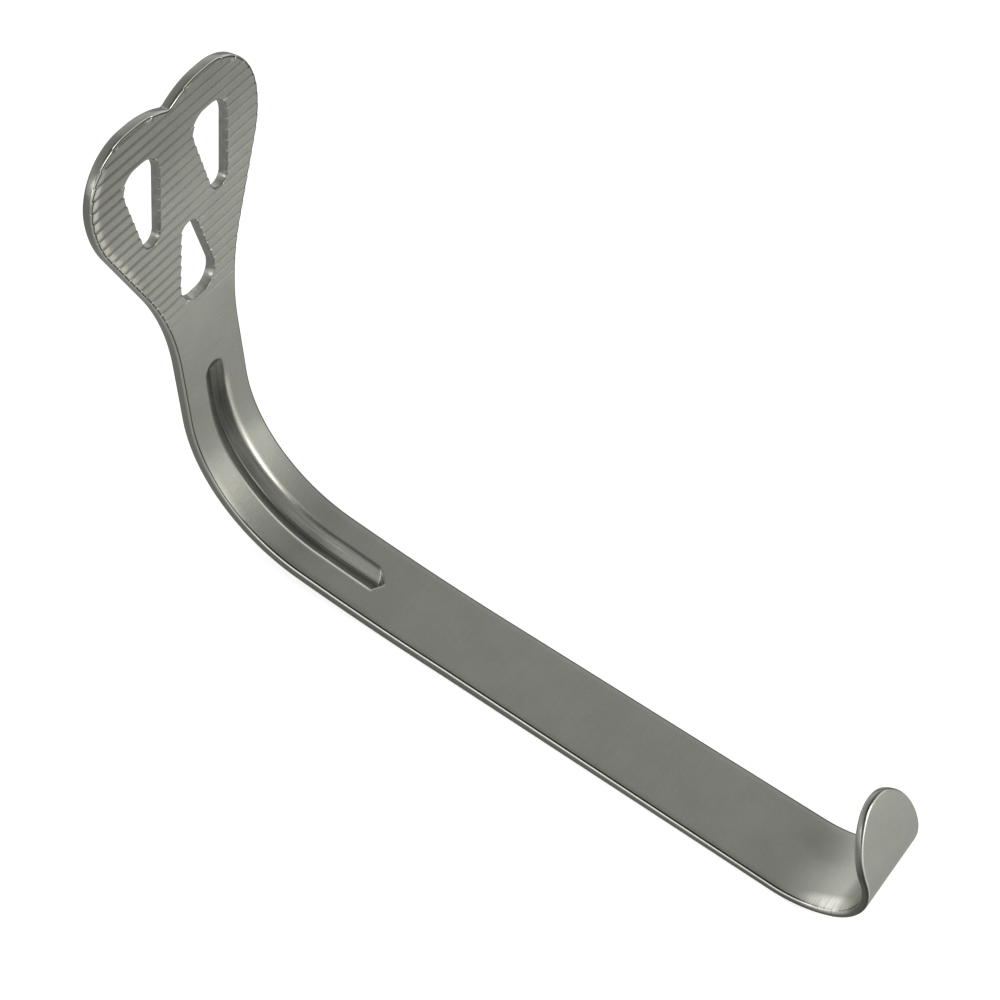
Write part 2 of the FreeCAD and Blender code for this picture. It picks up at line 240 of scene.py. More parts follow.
def line_points(first, last, stops, normal):
    """Points of a line at the given values of S, with their outward normal."""
    first, last = np.array(first), np.array(last)
    share = (np.array(stops) - first[0]) / (last[0] - first[0])
    points = first + share[:, None] * (last - first)
    return np.hstack([points, np.tile(np.array(normal, float), (len(points), 1))])


def half_outline(rows):
    """Half the strip's outline, from the notch to the tip, with the outward normals."""
    neck, side, hook = NECK_WIDTH / 2, HEART_WIDTH / 2, HOOK_WIDTH / 2
    widest = LOBES_AT + LOBE_RADIUS
    gap = np.array([widest + NECK_LENGTH, side - SIDE_RADIUS - neck])
    slope = math.asin(SIDE_RADIUS / np.hypot(*gap)) - math.atan2(-gap[1], -gap[0])
    trim = FLARE_RADIUS * math.tan(slope / 2)
    tilt = math.degrees(slope)
    peak = side - LOBE_RADIUS - LOBE_FLAT
    brow = (peak ** 2 + NOTCH_DEPTH ** 2) / (2 * NOTCH_DEPTH)
    rise = math.sqrt((brow + NOTCH_RADIUS) ** 2 - peak ** 2)
    turn = math.degrees(math.atan2(peak, rise))
    nose = TIP_LENGTH - TIP_NOSE_RADIUS
    tip_side = (nose ** 2 + hook ** 2 - TIP_NOSE_RADIUS ** 2) / (2 * (hook - TIP_NOSE_RADIUS))
    meet = math.degrees(math.atan2(tip_side - hook, nose))
    widening = math.atan2(hook - neck, HANDLE_LENGTH)

    flare_start = -NECK_LENGTH + trim
    pieces = [
        arc_points((LOBES_AT + brow - rise, 0), NOTCH_RADIUS, 0, turn, NOTCH_ARC, -1),
        arc_points((LOBES_AT + brow, peak), brow, 180 + turn, 180, BLADE_ARC),
        arc_points((widest, side - LOBE_RADIUS), LOBE_RADIUS, 180, 90, BLADE_ARC),
        arc_points((widest, side - SIDE_RADIUS), SIDE_RADIUS, 90, 90 - tilt, BLADE_ARC),
        arc_points((flare_start, neck + FLARE_RADIUS), FLARE_RADIUS, -90 - tilt, -90,
                   BLADE_ARC, -1),
        line_points((flare_start, neck), (EASE_END, neck),
                    [r for r in rows if flare_start < r < EASE_END], (0, 1)),
        line_points((EASE_END, neck), (HANDLE_END, hook),
                    [r for r in rows if EASE_END <= r < HANDLE_END],
                    (-math.sin(widening), math.cos(widening))),
        line_points((HANDLE_END, hook), (HOOK_END, hook),
                    [r for r in rows if HANDLE_END <= r < HOOK_END], (0, 1)),
        arc_points((HOOK_END, hook - tip_side), tip_side, 90, meet, TIP_ARC),
        arc_points((HOOK_END + nose, 0), TIP_NOSE_RADIUS, meet, 0, TIP_ARC)]
    return np.vstack(pieces)


def closed_outline(rows):
    half = half_outline(rows)
    other = half[::-1] * np.array([1, -1, 1, -1])
    return tidy_loop(np.vstack([half, other]))


def hole_outline(length, drop, offset, wide_end):
    """Outline of a drop-shaped hole. Its normals point out of the steel, into the hole."""
    corner = (HOLE_WIDTH - HOLE_CROWN) / 2
    wide = wide_end * (length / 2 - corner)
    narrow = -wide_end * (length / 2 - HOLE_NARROW_RADIUS)
    crown = wide_end * HOLE_CROWN / 2
    circles = [(wide, -crown, corner), (wide, crown, corner), (narrow, 0, HOLE_NARROW_RADIUS)]
    normals = []
    for i, (x, y, radius) in enumerate(circles):
        next_x, next_y, next_radius = circles[(i + 1) % 3]
        heading = math.atan2(next_y - y, next_x - x)
        gap = math.hypot(next_x - x, next_y - y)
        normals.append(math.degrees(heading - math.acos((radius - next_radius) / gap)))
    pieces = []
    for i, (x, y, radius) in enumerate(circles):
        turn = (normals[i] - normals[i - 1]) % 360
        pieces.append(arc_points((x, y), radius, normals[i - 1], normals[i - 1] + turn,
                                 HOLE_ARC, -1))
    loop = np.vstack(pieces)
    loop[:, :2] += (LOBES_AT + drop, offset)
    return tidy_loop(loop)


def tidy_loop(loop):
    """The loop without points that lie on the one before, and with long gaps filled."""
    kept = []
    for i in range(len(loop)):
        before = loop[i - 1]
        length = np.hypot(*(loop[i, :2] - before[:2]))
        if length < SHORTEST:
            continue
        count = int(length // LONGEST) if loop[i, 0] < 0 and before[0] < 0 else 0
        for k in range(count):
            kept.append(before + (loop[i] - before) * (k + 1) / (count + 1))
        kept.append(loop[i])
    return np.array(kept)


def cut_at_rows(loop, rim, rows):
    """The loop with a point wherever its inner edge, rim away, crosses a row."""
    made = []
    for i in range(len(loop)):
        first, last = loop[i - 1], loop[i]
        s0, s1 = first[0] - rim * first[2], last[0] - rim * last[2]
        low, high = min(s0, s1), max(s0, s1)
        shares = sorted((row - s0) / (s1 - s0) for row in rows
                        if low + NEARLY_SAME < row < high - NEARLY_SAME)
        for share in shares:
            point = first + (last - first) * share
            point[2:] /= np.hypot(*point[2:])
            made.append(point)
        made.append(last)
    return np.array(made)


def inside(points, loop):
    """Which points lie inside the closed loop."""
    x, y = points[:, 0][:, None], points[:, 1][:, None]
    x0, y0 = loop[:, 0], loop[:, 1]
    x1, y1 = np.roll(x0, -1), np.roll(y0, -1)
    crosses = (y0 > y) != (y1 > y)
    with np.errstate(divide="ignore", invalid="ignore"):
        at = x0 + (y - y0) * (x1 - x0) / (y1 - y0)
    return (crosses & (x < at)).sum(1) % 2 == 1


def in_steel(points, edges):
    """Which points lie inside the outline, the first of the edges, and outside the holes."""
    found = inside(points, edges[0])
    for edge in edges[1:]:
        found &= ~inside(points, edge)
    return found


def moved_in(loop, distance):
    """The points of a loop, moved from its edge into the steel."""
    return loop[:, :2] - distance * loop[:, 2:]


def ridge_rows():
    first = LOBES_AT + RIDGE_DROP
    rows = []
    for i in range(RIDGE_COUNT):
        step = first + i * RIDGE_PITCH
        rows += [step - CREASE_REACH, step - STEP_HALF, step + STEP_HALF, step + CREASE_REACH,
                 step + RIDGE_PITCH / 2]
    return rows


def spaced(first, last, step):
    count = int(round((last - first) / step))
    return list(np.linspace(first, last, max(count, 1), endpoint=False))


def strip_rows():
    """Values of S at which the strip has a row of points, past the ridges."""
    rows = []
    for (start, step), (end, _) in zip(ROW_STEPS, ROW_STEPS[1:]):
        rows += spaced(start, end, step)
    return rows


def fill_points(ridged, rows):
    """Points inside the outline: rows across the strip, closer together at the groove."""
    coarse = np.linspace(-HEART_WIDTH / 2, HEART_WIDTH / 2, COARSE_COLUMNS)
    fine = np.linspace(-GROOVE_HALF, GROOVE_HALF, GROOVE_COLUMNS)
    sides = np.array(BESIDE_GROOVE)
    at_groove = np.concatenate([-sides[::-1], fine, sides, coarse[np.abs(coarse) > PAST_GROOVE]])
    points = [(row, y) for row in ridged for y in coarse]
    for row in rows:
        if GROOVE_START - BEFORE_GROOVE <= row <= GROOVE_STOP + AFTER_GROOVE:
            columns = at_groove
        elif row > 0:
            widened = min(max((row - EASE_END) / HANDLE_LENGTH, 0), 1)
            half = (NECK_WIDTH + (HOOK_WIDTH - NECK_WIDTH) * widened) / 2
            columns = np.linspace(-half, half, HANDLE_COLUMNS)[1:-1]
        else:
            columns = coarse
        points += [(row, y) for y in columns]
    return np.array(points)


def row_links(flat, ridged, edges):
    """Links along the ridge rows, so that no triangle crosses a step."""
    pairs = []
    for row in ridged:
        on_row = np.flatnonzero(np.abs(flat[:, 0] - row) < ON_ROW)
        on_row = on_row[np.argsort(flat[on_row, 1])]
        pairs.append(np.stack([on_row[:-1], on_row[1:]], 1))
    pairs = np.vstack(pairs)
    gap = np.abs(flat[pairs[:, 0], 1] - flat[pairs[:, 1], 1])
    wanted = (gap > NEARLY_SAME) & in_steel(flat[pairs].mean(1), edges)
    return [(int(a), int(b)) for a, b in pairs[wanted]]


def rim_profile(rim, count):
    """Steps from the front edge to the back edge of a rim: way in, and height from one face.

    The third value says whether the height is below the front or above the back."""
    turns = [math.pi / 2 * (k + 1) / count for k in range(count)]
    front = [(rim * (1 - math.sin(t)), rim * (1 - math.cos(t)), True) for t in turns]
    back = [(way_in, drop, False) for way_in, drop, _ in reversed(front)]
    return front + back


def sheet_loops(ridged, rows):
    """The outline and the holes, each with the radius of its rim and the faces across it."""
    loops = [(closed_outline(rows), RIM, RIM_STEPS)]
    side = UPPER_HOLE_SPACING / 2
    for length, drop, offset, wide in ((UPPER_HOLE_LENGTH, UPPER_HOLE_DROP, -side, -1),
                                       (UPPER_HOLE_LENGTH, UPPER_HOLE_DROP, side, -1),
                                       (LOWER_HOLE_LENGTH, LOWER_HOLE_DROP, 0, 1)):
        loops.append((hole_outline(length, drop, offset, wide), HOLE_RIM, HOLE_RIM_STEPS))
    on_blade = [row for row in sorted(ridged + rows) if row < 0]
    return [(cut_at_rows(loop, rim, on_blade), rim, count) for loop, rim, count in loops]


def triangulated(loops, edges, ridged, rows):
    """Points and triangles of the flat face. The points of the edges come first."""
    fill = fill_points(ridged, rows)
    margins = [moved_in(loop, rim + FILL_MARGIN) for loop, rim, _ in loops]
    flat = np.vstack(edges + [fill[in_steel(fill, margins)]])
    links = []
    first = 0
    for edge in edges:
        count = len(edge)
        links += [(first + i, first + (i + 1) % count) for i in range(count)]
        first += count
    links += row_links(flat, ridged, edges)
    found = geometry.delaunay_2d_cdt([Vector(p) for p in flat], links, [], 0, WELD)
    corners = np.array([tuple(v) for v in found[0]])
    triangles = np.array([f for f in found[2] if len(f) == 3])
    wanted = in_steel(corners[triangles].mean(1), edges)
    back_to = np.array([ids[0] if ids else -1 for ids in found[3]])
    return flat, back_to[triangles[wanted]]


def brink_marks(s, y, edge):
    """1 at the start of the outline's rim and 0 a little way in, on the blade's near half."""
    marks = np.zeros(len(s))
    for part in np.array_split(np.flatnonzero((s < -NECK_LENGTH) & (y < BRINK_BELOW)), BATCHES):
        away = np.hypot(s[part, None] - edge[:, 0], y[part, None] - edge[:, 1]).min(1)
        marks[part] = np.clip(1 - away / BRINK, 0, 1)
    return marks


class Sheet:
    """Points of the flat strip with their heights and marks, and the faces between them."""

    def __init__(self):
        self.points, self.faces, self.count = [], [], 0
        self.marks = {name: [] for name in MARKS}

    def add_points(self, s, y, height, **marks):
        """Adds points and returns their numbers. A mark that isn't given is 0."""
        self.points.append(np.stack([s, y, height], 1))
        for name, values in self.marks.items():
            values.append(np.broadcast_to(marks.get(name, 0.0), len(s)))
        numbers = np.arange(self.count, self.count + len(s))
        self.count += len(s)
        return numbers

    def add_rim(self, loop, rim, steps, front, back):
        """Rounded rims and the wall between the points of the front edge and the back edge."""
        is_hole = rim == HOLE_RIM
        cut = ridge_depth(moved_in(loop, rim)[:, 0])
        rings = [front]
        for k, (way_in, drop, from_front) in enumerate(rim_profile(rim, steps)):
            s, y = moved_in(loop, way_in).T
            if from_front:
                # The ridges keep their depth at a hole and run out over the outline's rim
                left = cut if is_hole else cut * (1 - (k + 1) / steps)
                height = sheet_thickness(s) - np.maximum(cut * (not is_hole), drop + left)
            else:
                height = np.full(len(loop), drop)
            rings.append(self.add_points(s, y, height, edge=(k + 1) / (2 * steps + 1),
                                         hole=float(is_hole)))
        rings.append(back)
        for upper, lower in zip(rings, rings[1:]):
            quads = [upper, np.roll(upper, -1), np.roll(lower, -1), lower]
            self.faces += np.stack(quads, 1).tolist()


def flat_sheet():
    """The whole strip before it is bent: both faces share one triangulation."""
    ridged, rows = ridge_rows(), strip_rows()
    loops = sheet_loops(ridged, rows)
    edges = [moved_in(loop, rim) for loop, rim, _ in loops]
    flat, triangles = triangulated(loops, edges, ridged, rows)
    s, y = flat.T
    pressed = groove_depth(s, y)
    sheet = Sheet()
    front = sheet.add_points(s, y, sheet_thickness(s) - ridge_depth(s) - pressed,
                             pressed=pressed / GROOVE_DEPTH, crease=ridge_crease(s),
                             brink=brink_marks(s, y, edges[0]))
    back = sheet.add_points(s, y, -bead_height(s, y), edge=1.0)
    sheet.faces += front[triangles].tolist() + back[triangles[:, [0, 2, 1]]].tolist()
    first = 0
    for loop, rim, steps in loops:
        here = slice(first, first + len(loop))
        sheet.add_rim(loop, rim, steps, front[here], back[here])
        first += len(loop)
    return sheet


def retractor_mesh():
    """The strip bent into the retractor, with its marks and its places on the flat strip."""
    sheet = flat_sheet()
    points = np.vstack(sheet.points)
    s, y, height = points.T
    x, z = bend_strip(s, height)
    x += cad_box[1][0] / MM - bend_reach()
    z -= bend_strip(np.array([EASE_END]), np.array([0.0]))[1][0]
    mesh = bpy.data.meshes.new("retractor_steel")
    mesh.from_pydata(np.stack([x, y, z], 1) * MM, [], sheet.faces)
    place = mesh.attributes.new("flat", "FLOAT_VECTOR", "POINT")
    place.data.foreach_set("vector", points.astype(np.float32).ravel())
    for name, values in sheet.marks.items():
        layer = mesh.attributes.new(name, "FLOAT", "POINT")
        layer.data.foreach_set("value", np.concatenate(values).astype(np.float32))
    mesh.shade_smooth()
    return mesh


def bend_reach():
    """Largest X of the bent strip: the outside of the hook."""
    heading = math.radians(HOOK_LEAD_ANGLE)
    x = bend_strip(np.array([LEAD_END]), np.array([0.0]))[0]
    return x[0] - HOOK_RADIUS * math.sin(heading) + HOOK_RADIUS


def add_retractor(material):
    mesh = retractor_mesh()
    work = bmesh.new()
    work.from_mesh(mesh)
    bmesh.ops.recalc_face_normals(work, faces=work.faces)
    work.to_mesh(mesh)
    work.free()
    mesh.materials.append(material)
    retractor = bpy.data.objects.new("retractor_steel", mesh)
    bpy.context.collection.objects.link(retractor)
    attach(retractor, "root")
    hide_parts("retractor")


def add_camera():
    data = bpy.data.cameras.new("camera")
    data.sensor_width = SENSOR
    data.lens = FOCAL * SENSOR
    data.clip_start = 0.01
    camera = bpy.data.objects.new("camera", data)
    right, down, ahead = Vector(CAMERA_RIGHT), Vector(CAMERA_DOWN), Vector(CAMERA_AHEAD)
    turn = Matrix((right, -down, -ahead)).transposed()
    camera.matrix_world = Matrix.Translation(CAMERA_AT) @ turn.to_4x4()
    bpy.context.collection.objects.link(camera)
    bpy.context.scene.camera = camera


def add_light(name, towards, distance, size, power, aim, colour):
    data = bpy.data.lights.new(name, "AREA")
    data.shape = "RECTANGLE"
    data.size, data.size_y = size
    data.energy = power
    data.color = colour
    light = bpy.data.objects.new(name, data)
    away = Vector(towards).normalized()
    light.location = Vector(aim) + away * distance
    light.rotation_euler = away.to_track_quat("Z", "Y").to_euler()
    bpy.context.collection.objects.link(light)


class Graph:
    """Short ways to add and join the nodes of a material or a world."""

    def __init__(self, tree):
        self.nodes = tree.nodes
        self.links = tree.links

    def add(self, kind, settings=None, **inputs):
        node = self.nodes.new("ShaderNode" + kind)
        for name, value in (settings or {}).items():
            setattr(node, name, value)
        for name, value in inputs.items():
            self.put(node.inputs[name.replace("_", " ")], value)
        return node

    def put(self, socket, value):
        if isinstance(value, bpy.types.NodeSocket):
            self.links.new(value, socket)
        else:
            socket.default_value = value

    def math(self, operation, *values):
        node = self.nodes.new("ShaderNodeMath")
        node.operation = operation
        for socket, value in zip(node.inputs, values):
            self.put(socket, value)
        return node.outputs[0]

    def span(self, value, low, high, to_low, to_high):
        """Smooth change from one value to another between two places."""
        node = self.add("MapRange", {"interpolation_type": "SMOOTHSTEP"})
        for socket, given in zip(node.inputs, (value, low, high, to_low, to_high)):
            self.put(socket, given)
        return node.outputs[0]

    def ramp(self, value, stops):
        """Colour ramp from (place, grey or colour) pairs."""
        node = self.nodes.new("ShaderNodeValToRGB")
        for i, (at, colour) in enumerate(stops):
            stop = node.color_ramp.elements[i] if i < 2 else node.color_ramp.elements.new(at)
            stop.position = at
            colour = colour if isinstance(colour, tuple) else (colour, colour, colour)
            stop.color = colour + (1,)
        self.put(node.inputs[0], value)
        return node.outputs[0]

    def mix(self, share, first, second, blend="MIX"):
        node = self.add("Mix", {"data_type": "RGBA", "blend_type": blend})
        self.put(node.inputs["Factor"], share)
        for socket, value in ((node.inputs[6], first), (node.inputs[7], second)):
            linked = isinstance(value, bpy.types.NodeSocket)
            self.put(socket, value if linked else tuple(value) + (1,))
        return node.outputs[2]

    def times(self, first, *others):
        """Numbers multiplied together."""
        for other in others:
            first = self.math("MULTIPLY", first, other)
        return first

    def tinted(self, first, *others):
        """Colours multiplied together."""
        for other in others:
            first = self.mix(1.0, first, other, "MULTIPLY")
        return first

    def mark(self, name, kind="Fac"):
        """A value that the mesh carries at its points."""
        return self.add("Attribute", {"attribute_name": name}).outputs[kind]

    def noise(self, place, scale, detail, roughness):
        node = self.add("TexNoise", Vector=place, Scale=scale, Detail=detail, Roughness=roughness)
        return node.outputs["Fac"]

    def spread(self, along, across, middle, radii):
        """0 in the middle of an oval on the strip and 1 on its rim."""
        squares = []
        for value, centre, radius in zip((along, across), middle, radii):
            away = self.math("DIVIDE", self.math("SUBTRACT", value, centre), radius)
            squares.append(self.math("MULTIPLY", away, away))
        return self.math("ADD", *squares)


def add_floor():
    """Plain pale floor, lifted to white for the camera alone."""
    mesh = bpy.data.meshes.new("floor")
    corners = [(x * FLOOR_HALF, y * FLOOR_HALF, 0) for x, y in ((-1, -1), (1, -1), (1, 1), (-1, 1))]
    mesh.from_pydata(corners, [], [(0, 1, 2, 3)])
    floor = bpy.data.objects.new("floor", mesh)
    bpy.context.collection.objects.link(floor)
    paint = bpy.data.materials.new("floor")
    paint.use_nodes = True
    graph = Graph(paint.node_tree)
    shader = graph.nodes["Principled BSDF"]
    shader.inputs["Base Color"].default_value = (FLOOR_GREY, FLOOR_GREY, FLOOR_GREY, 1)
    shader.inputs["Roughness"].default_value = FLOOR_ROUGHNESS
    shader.inputs["Specular IOR Level"].default_value = 0.0
    shader.inputs["Emission Color"].default_value = (1, 1, 1, 1)
    path = graph.add("LightPath")
    graph.put(shader.inputs["Emission Strength"],
              graph.math("MULTIPLY", path.outputs["Is Camera Ray"], FLOOR_LIFT))
    mesh.materials.append(paint)


def add_world():
    """Soft surroundings, bright round the horizon and dark overhead."""
    world = bpy.data.worlds.new("world")
    world.use_nodes = True
    graph = Graph(world.node_tree)
    place = graph.add("TexCoord")
    split = graph.add("SeparateXYZ", Vector=place.outputs["Generated"])
    graph.put(graph.nodes["Background"].inputs["Color"],
              graph.ramp(split.outputs["Z"], SURROUNDINGS))
    graph.nodes["Background"].inputs["Strength"].default_value = 1.0
    bpy.context.scene.world = world


# Tones of the steel, most of them painted light and shade. Places are in millimetres of the strip,
# or shares of the stretch named
# Painted highlights: the cream patches, the pale line on the hook's rim and the pale lips
CREAM_HIGHLIGHT, PALE_RIM, PALE_LIP = (0.97, 0.95, 0.84), (0.95, 0.93, 0.86), (0.95, 0.93, 0.83)
# A polish whose pale colour is a painted highlight, and a darker oval
POLISHED_HIGHLIGHT, DARKER_OVAL = (0.97, 0.95, 0.88), (0.2, 0.21, 0.19)
# Painted shade on the near lip and at the steps of the ridges
DARK_LIP, DARK_LINE = (0.09, 0.09, 0.08), (0.08, 0.08, 0.07)
FACE_TONES = ((0.3, (0.425, 0.437, 0.397)), (0.7, (0.475, 0.480, 0.432)))
FACE_GAIN, RIM_GAIN, GROOVE_GAIN = (1.46, 1.46, 1.44), (1.65, 1.65, 1.6), (1.9, 1.9, 1.9)
# Painted light and shade: brightness of the faces along the strip
STRIP_FROM, STRIP_OVER, STRIP_SCALE = -45.0, 165.0, 0.7
STRIP_TONES = ((0.0, 0.86), (0.05, 1.02), (0.10, 1.38), (0.17, 1.38), (0.215, 1.15),
               (0.27, 1.12), (0.36, 0.92), (0.45, 1.05), (0.9, 1.08), (0.96, 1.16), (0.99, 1.36))
# Painted light and shade over the rims, from the front face over the rim to the back
RIM_TONES = ((0.0, 0.42), (0.05, 0.09), (0.14, 0.10), (0.2, 0.6), (0.32, 0.5), (0.46, 0.29),
             (0.54, 0.29), (0.70, 0.13), (0.85, 0.42), (1.0, 0.42))
# Painted light and shade on the rims along the hook
HOOK_FROM, HOOK_OVER = 80.0, 40.0
HOOK_RIM_TONES = ((0.0, 0.6), (0.35, 0.5), (0.6, 0.27), (0.74, 0.25), (0.80, 0.62))
# Painted shade on the walls of the holes, with streaks
WALL_TONES = ((0.3, (0.29, 0.295, 0.265)), (0.7, (0.42, 0.425, 0.385)))
# Painted light and shade in the groove: along each flank, and darker at its bottom
GROOVE_FROM, GROOVE_OVER = -4.0, 38.0
NEAR_FLANK_TONES = ((0.0, 0.27), (0.12, 0.42), (0.4, 0.36), (0.75, 0.27), (1.0, 0.3))
FAR_FLANK_TONES = ((0.0, 0.26), (0.12, 0.15), (0.4, 0.22), (0.6, 0.55), (0.8, 0.95), (1.0, 0.9))
DEPTH_TONES = ((0.0, 1.0), (0.06, 0.8), (0.3, 1.0), (0.8, 0.9), (1.0, 0.55))
# Places of the painted highlights and painted shade on the groove's lips
FAR_LIP_AT, FAR_LIP_REACH = 1.75, 0.55
NEAR_LIP_AT, NEAR_LIP_REACH = -1.68, 0.22
PATCH_MIDDLE, PATCH_RADII = (HANDLE_END + 7.6, -5.0), (3.8, 1.35)
# A faint darker oval at the far side of the handle's end
DARKER_OVAL_MIDDLE, DARKER_OVAL_RADII = (HANDLE_END + 3.0, 2.6), (3.6, 2.4)
# Scale, detail and roughness of the noises, how two of them are drawn out, and their tones
MOTTLE, GRAIN, LINES, STREAKS = (0.22, 3.0, 0.55), (6.0, 2.0, 0.6), (1.0, 4.0, 0.7), (1.0, 3.0, 0.6)
LINES_DRAWN, STREAKS_DRAWN = (5.0, 0.25, 1.0), (0.12, 4.0, 1.0)
LINES_TONES, STREAKS_TONES = ((0.3, 0.93), (0.7, 1.0)), ((0.35, 0.68), (0.65, 1.0))
STEEL_TINT = (1.0, 1.01, 0.925)
# Spans: two places, the value up to the first one, and the value from the second one on
# Spans of the painted highlight in cream patches by the heart's near rim
HIGHLIGHT_BY_RIM, HIGHLIGHT_OFF_STEPS = (0.0, 0.55, 0.0, 1.0), (0.0, 0.3, 1.0, 0.0)
HIGHLIGHT_ACROSS, HIGHLIGHT_ALONG = (-10.5, -8.0, 1.0, 0.0), (-41.0, -38.0, 0.0, 1.0)
RIM_STARTS, RIM_ENDS = (0.0, 0.04, 0.0, 1.0), (0.96, 1.0, 1.0, 0.0)
# Spans of the painted highlight line where the hook's rim meets its outer face
HOOK_LINE_STARTS, HOOK_LINE_ENDS = (0.80, 0.9, 0.0, 1.0), (0.97, 1.0, 1.0, 0.0)
HOOK_LINE_ALONG, HOOK_LINE_ACROSS = (104.0, 107.0, 0.0, 1.0), (-2.0, 4.0, 0.9, 0.2)
ON_FAR_FLANK, IN_GROOVE = (-0.15, 0.25, 0.0, 1.0), (0.01, 0.12, 0.0, 1.0)
# Spans of the painted highlights and painted shade on the groove's lips
FAR_LIP_STARTS, FAR_LIP_ENDS = (-3.5, 0.0, 0.0, 1.0), (14.0, 27.0, 1.0, 0.0)
FAR_LIP_STREAKS = (0.3, 0.6, 0.45, 0.9)
PALE_LIP_STARTS, PALE_LIP_ENDS = (5.0, 20.0, 0.0, 0.85), (32.0, 33.5, 1.0, 0.0)
DARK_LIP_STARTS, DARK_LIP_ENDS = (-4.2, -2.5, 0.0, 1.0), (3.0, 14.0, 0.65, 0.0)
# Span of the painted shade at the steps of the ridges, across the strip
STEP_LINES_ACROSS = (-10.0, 9.0, 0.85, 0.4)
# Spans of the polished patch with its painted highlight, and of the darker oval
PATCH_OUTWARDS, PATCH_ON_FRONT = (0.0, 1.7, 1.0, 0.0), (0.5, 0.9, 0.0, 1.0)
PATCH_LINES, DARKER_OVAL_OUTWARDS = (0.35, 0.6, 0.5, 1.0), (0.0, 1.6, 0.3, 0.0)
ROUGHNESS = (0.3, 0.7, 0.27, 0.35)
RIM_SMOOTHER, PATCH_SMOOTHER = 0.12, 0.08
GRAIN_RELIEF, LINES_RELIEF = 0.5, 1.5
BUMP_STRENGTH, BUMP_DISTANCE = 0.045, 0.00003


def stretch(graph, along, start, length):
    """Place along a stretch of the strip, from 0 to 1."""
    return graph.math("DIVIDE", graph.math("SUBTRACT", along, start), length)


def steel_fields(graph):
    """What the steel is worked out from: places on the strip, marks of the mesh and noise."""
    flat = graph.mark("flat", "Vector")
    along, across, height = graph.add("SeparateXYZ", Vector=flat).outputs
    squeezed = graph.add("Mapping", Vector=flat, Scale=LINES_DRAWN).outputs["Vector"]
    drawn = graph.add("Mapping", Vector=flat, Scale=STREAKS_DRAWN).outputs["Vector"]
    # Mottling a few millimetres across, fine grain, lines across the strip, streaks along it
    noises = {"mottle": graph.noise(flat, *MOTTLE), "grain": graph.noise(flat, *GRAIN),
              "lines": graph.noise(squeezed, *LINES), "streaks": graph.noise(drawn, *STREAKS)}
    marks = {name: graph.mark(name) for name in MARKS}
    return SimpleNamespace(along=along, across=across, height=height, **noises, **marks)


def face_tone(graph, at):
    """Tone of the faces, fitted along the strip to the light on it in the photograph."""
    where = stretch(graph, at.along, STRIP_FROM, STRIP_OVER)
    strip_tones = [(place, STRIP_SCALE * tone) for place, tone in STRIP_TONES]
    # Mottling, polishing lines, and painted light and shade along the strip
    face = graph.tinted(graph.ramp(at.mottle, FACE_TONES),
                        graph.ramp(at.lines, LINES_TONES),
                        graph.ramp(where, strip_tones), FACE_GAIN)
    # Painted highlight: cream patches where the ridges run out at the near rim of the heart
    near_side = graph.times(graph.span(at.across, *HIGHLIGHT_ACROSS),
                            graph.span(at.along, *HIGHLIGHT_ALONG))
    painted_highlight = graph.times(graph.span(at.brink, *HIGHLIGHT_BY_RIM), near_side,
                       graph.span(at.crease, *HIGHLIGHT_OFF_STEPS))
    return graph.mix(painted_highlight, face, CREAM_HIGHLIGHT)


def rim_tone(graph, at):
    """Painted light over the rims: a dark line, a bright one, and the wall's painted shade, darkest
    at the hook.
    """
    tones = [(place, tuple(tone * tint for tint in STEEL_TINT)) for place, tone in RIM_TONES]
    hook_place = stretch(graph, at.along, HOOK_FROM, HOOK_OVER)
    return graph.tinted(graph.ramp(at.edge, tones), graph.ramp(hook_place, HOOK_RIM_TONES),
                        RIM_GAIN)


def groove_tone(graph, at):
    """Painted light and shade inside the groove: each flank has its own along the bend, darker at
    the bottom.
    """
    down = stretch(graph, at.along, GROOVE_FROM, GROOVE_OVER)
    flank = graph.mix(graph.span(at.across, *ON_FAR_FLANK), graph.ramp(down, NEAR_FLANK_TONES),
                      graph.ramp(down, FAR_FLANK_TONES))
    return graph.tinted(flank, graph.ramp(at.pressed, DEPTH_TONES),
                        graph.ramp(at.streaks, STREAKS_TONES), GROOVE_GAIN)


def with_hook_line(graph, at, colour):
    """Adds a painted highlight: the pale line where the hook's rim meets its outer face."""
    share = graph.times(graph.span(at.edge, *HOOK_LINE_STARTS),
                        graph.span(at.edge, *HOOK_LINE_ENDS),
                        graph.span(at.along, *HOOK_LINE_ALONG),
                        graph.span(at.across, *HOOK_LINE_ACROSS))
    return graph.mix(share, colour, PALE_RIM)


def lip_share(graph, at, place, reach):
    """1 on the line of a lip of the groove and 0 at its reach."""
    away = graph.math("ABSOLUTE", graph.math("SUBTRACT", at.across, place))
    return graph.span(away, 0.0, reach, 1.0, 0.0)


def with_lips(graph, at, colour):
    """Adds painted highlights and shade on the groove's lips: pale on the far side, dark and then
    pale on the near side.
    """
    far = graph.times(lip_share(graph, at, FAR_LIP_AT, FAR_LIP_REACH),
                      graph.span(at.along, *FAR_LIP_STARTS),
                      graph.span(at.along, *FAR_LIP_ENDS),
                      graph.span(at.streaks, *FAR_LIP_STREAKS))
    near = lip_share(graph, at, NEAR_LIP_AT, NEAR_LIP_REACH)
    pale = graph.times(near, graph.span(at.along, *PALE_LIP_STARTS),
                       graph.span(at.along, *PALE_LIP_ENDS))
    dark = graph.times(near, graph.span(at.along, *DARK_LIP_ENDS),
                       graph.span(at.along, *DARK_LIP_STARTS))
    colour = graph.mix(far, colour, PALE_LIP)
    colour = graph.mix(pale, colour, PALE_LIP)
    return graph.mix(dark, colour, DARK_LIP)


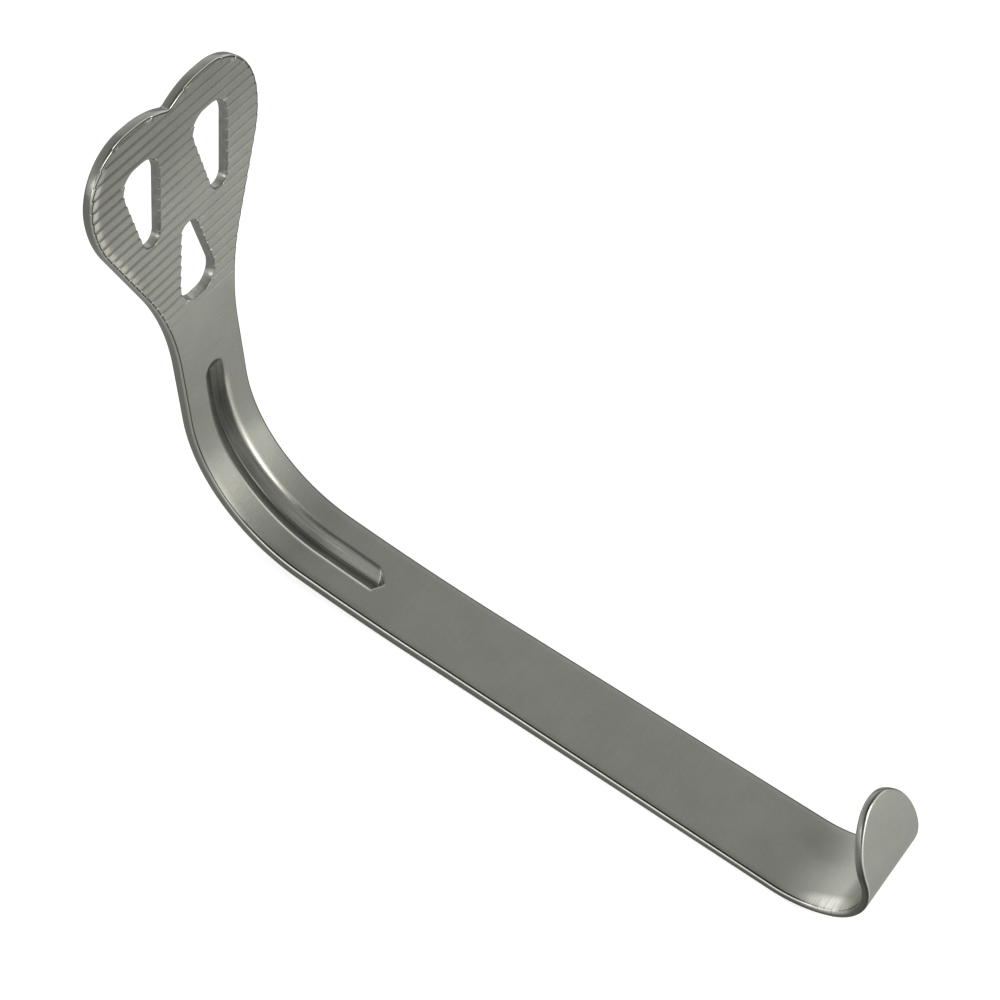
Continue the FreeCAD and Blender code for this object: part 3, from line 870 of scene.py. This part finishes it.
def polish_and_highlight_share(graph, at):
    """Polished patch inside the hook, by its near edge, with a painted highlight in its colour."""
    oval = graph.spread(at.along, at.across, PATCH_MIDDLE, PATCH_RADII)
    return graph.times(graph.span(oval, *PATCH_OUTWARDS),
                       graph.span(at.height, *PATCH_ON_FRONT),
                       graph.span(at.lines, *PATCH_LINES))


def steel():
    """Satin steel with mottling, grain, polishing lines and a streaky groove, and with painted
    light and shade: dark creases and tones on the faces, rims, groove and lips.
    """
    material = bpy.data.materials.new("satin_steel")
    material.use_nodes = True
    graph = Graph(material.node_tree)
    shader = graph.nodes["Principled BSDF"]
    shader.inputs["Metallic"].default_value = 1.0
    at = steel_fields(graph)

    face = face_tone(graph, at)
    # Painted light and shade over the rims
    on_rim = graph.times(graph.span(at.edge, *RIM_STARTS), graph.span(at.edge, *RIM_ENDS))
    colour = graph.mix(on_rim, face, rim_tone(graph, at))
    colour = with_hook_line(graph, at, colour)
    # Painted shade: the walls of the holes are darker than the faces
    colour = graph.mix(at.hole, colour, graph.ramp(at.streaks, WALL_TONES))
    # Painted light and shade inside the groove
    in_groove = graph.span(at.pressed, *IN_GROOVE)
    colour = graph.mix(in_groove, colour, graph.tinted(face, groove_tone(graph, at)))
    # Painted highlights and painted shade on the groove's lips
    colour = with_lips(graph, at, colour)

    # Painted shade: thin dark lines at the steps of the ridges, fading towards the far side
    line_share = graph.times(at.crease, graph.span(at.across, *STEP_LINES_ACROSS))
    colour = graph.mix(line_share, colour, DARK_LINE)

    # The polished patch with its painted highlight, and a faint darker oval at the far side of the
    # handle's end
    patch = polish_and_highlight_share(graph, at)
    colour = graph.mix(patch, colour, POLISHED_HIGHLIGHT)
    oval = graph.spread(at.along, at.across, DARKER_OVAL_MIDDLE, DARKER_OVAL_RADII)
    colour = graph.mix(graph.span(oval, *DARKER_OVAL_OUTWARDS), colour, DARKER_OVAL)
    graph.put(shader.inputs["Base Color"], colour)

    rough = graph.span(at.grain, *ROUGHNESS)
    for share, smoother in ((on_rim, RIM_SMOOTHER), (patch, PATCH_SMOOTHER)):
        rough = graph.math("SUBTRACT", rough, graph.times(share, smoother))
    graph.put(shader.inputs["Roughness"], rough)

    relief = graph.math("ADD", graph.times(at.grain, GRAIN_RELIEF),
                        graph.times(at.lines, LINES_RELIEF))
    bump = graph.add("Bump", Strength=BUMP_STRENGTH, Distance=BUMP_DISTANCE, Height=relief)
    graph.put(shader.inputs["Normal"], bump.outputs["Normal"])
    return material


bpy.context.scene.view_settings.view_transform = "Standard"
add_camera()
add_floor()
add_world()
for light in LIGHTS:
    add_light(*light)
add_retractor(steel())
